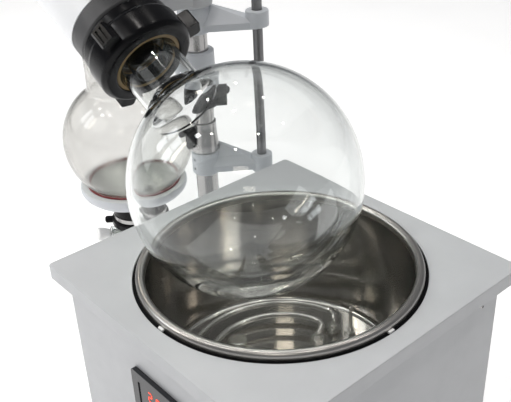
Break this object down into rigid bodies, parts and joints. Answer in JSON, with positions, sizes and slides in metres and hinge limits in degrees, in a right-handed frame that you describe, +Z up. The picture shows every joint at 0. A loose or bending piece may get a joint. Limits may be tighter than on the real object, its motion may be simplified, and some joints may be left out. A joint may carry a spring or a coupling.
{
  "type": "rotary evaporator",
  "caption": "Bench rotary evaporator: a tilted round glass flask on a motor head turns over a round heating bath, with a column lift, upright condenser and receiving flask.",
  "frame": {"origin": "bottom centre of the bounding box, on the surface the feet stand on", "axes": "+Z up; the control panel faces -Y; +X to the right when facing the control panel, from the receiver towards the bath"},
  "size_m": [0.907, 0.4848, 0.9983],
  "materials": {
    "white_paint": "off-white powder coat, semi-matt",
    "grey_paint": "blue-grey paint over castings",
    "dark_paint": "dark grey, matt",
    "black_plastic": "moulded black, satin",
    "rubber": "matt",
    "stainless": "polished, fine turning lines",
    "polished_steel": "polished",
    "glass": "clear borosilicate with a faint green edge",
    "red_silicone": "satin silicone",
    "amber_seal": "satin",
    "white_plastic": "white fluoropolymer, satin",
    "gloss_panel": "dark glossy panel"
  },
  "bodies": {
    "stand": {"base_frame": "white_paint", "foot_1": "rubber", "foot_2": "rubber", "foot_3": "rubber", "foot_4": "rubber", "foot_5": "rubber", "cabinet_body": "white_paint", "cabinet_top": "white_paint", "rim_seal": "rubber", "rim_tab_1": "white_plastic", "rim_tab_2": "white_plastic", "rim_tab_3": "white_plastic", "rim_tab_4": "white_plastic", "bath_pot": "stainless", "heater_coil": "stainless", "temperature_probe": "stainless", "drain_strainer": "stainless", "control_fascia": "gloss_panel", "mains_inlet": "black_plastic", "column": "polished_steel", "guide_rod": "polished_steel", "lower_bracket": "grey_paint", "stop_collar": "polished_steel"},
    "collar_lever": {"collar_lever": "black_plastic"},
    "rocker_switch": {"rocker_switch": "black_plastic"},
    "speed_knob": {"speed_knob": "black_plastic"},
    "key_down": {"key_down": "grey_paint"},
    "key_up": {"key_up": "grey_paint"},
    "lift": {"top_bracket": "grey_paint", "lift_clamp": "black_plastic", "condenser_arm": "grey_paint", "head_mount": "white_paint", "head_barrel": "white_paint", "head_ring": "dark_paint", "front_bearing": "stainless", "rear_bearing": "stainless", "drive_belt": "rubber", "drive_casing": "white_paint", "casing_cover": "white_paint", "drive_motor": "dark_paint", "vapour_tube": "glass", "vapour_elbow": "glass", "condenser_jacket": "glass", "condenser_coil": "glass", "condenser_cap": "white_plastic", "receiver_flask": "glass", "receiver_clamp": "black_plastic", "receiver_gasket": "red_silicone", "support_cup": "white_plastic", "outlet_clamp": "black_plastic", "outlet_band": "polished_steel", "drain_valve": "glass"},
    "clamp_knob": {"clamp_knob": "black_plastic"},
    "valve_knob": {"valve_knob": "white_plastic"},
    "rotor": {"evaporating_flask": "glass", "flask_gasket": "amber_seal", "spindle": "stainless", "spindle_pulley": "stainless"},
    "flask_nut": {"flask_nut": "black_plastic"},
    "motor_shaft": {"motor_pulley": "stainless"}
  },
  "joints": [
    {"name": "lift_slide", "type": "slide", "parent": "stand", "child": "lift", "axis": [0, 0, 1], "range_m": [0, 0.16]},
    {"name": "flask_spin", "type": "hinge", "parent": "lift", "child": "rotor", "pos_m": [0.2039, -0.03955, 0.478], "axis": [-0.8746, 0, 0.4848], "continuous": true},
    {"name": "nut_turn", "type": "hinge", "parent": "rotor", "child": "flask_nut", "pos_m": [0.2039, -0.03955, 0.478], "axis": [-0.8746, 0, 0.4848], "range_deg": [0, 90]},
    {"name": "motor_spin", "type": "hinge", "parent": "lift", "child": "motor_shaft", "pos_m": [0.25965, -0.03955, 0.57858], "axis": [-0.8746, 0, 0.4848], "continuous": true},
    {"name": "clamp_knob_turn", "type": "hinge", "parent": "lift", "child": "clamp_knob", "pos_m": [-0.05137, 0.13504, 0.473], "axis": [-0.766, 0.6428, 0], "range_deg": [0, 360]},
    {"name": "collar_lever_turn", "type": "hinge", "parent": "stand", "child": "collar_lever", "pos_m": [-0.0745, 0.07745, 0.416], "axis": [0, -1, 0], "range_deg": [0, 180]},
    {"name": "valve_turn", "type": "hinge", "parent": "lift", "child": "valve_knob", "pos_m": [-0.3385, 0.12745, 0.095], "axis": [-0.2856, -0.9375, 0.1987], "range_deg": [0, 360]},
    {"name": "speed_knob_turn", "type": "hinge", "parent": "stand", "child": "speed_knob", "pos_m": [0.3375, -0.22525, 0.274], "axis": [0, -1, 0], "range_deg": [0, 280]},
    {"name": "switch_rock", "type": "hinge", "parent": "stand", "child": "rocker_switch", "pos_m": [0.3375, -0.22595, 0.222], "axis": [1, 0, 0], "range_deg": [0, 18]},
    {"name": "key_down_press", "type": "slide", "parent": "stand", "child": "key_down", "axis": [0, 1, 0], "range_m": [0, 0.0015], "stiffness_N_per_m": 300},
    {"name": "key_up_press", "type": "slide", "parent": "stand", "child": "key_up", "axis": [0, 1, 0], "range_m": [0, 0.0015], "stiffness_N_per_m": 300}
  ],
  "couplings": [
    {"joint": "motor_spin", "follows": "flask_spin", "ratio": 2.5}
  ]
}
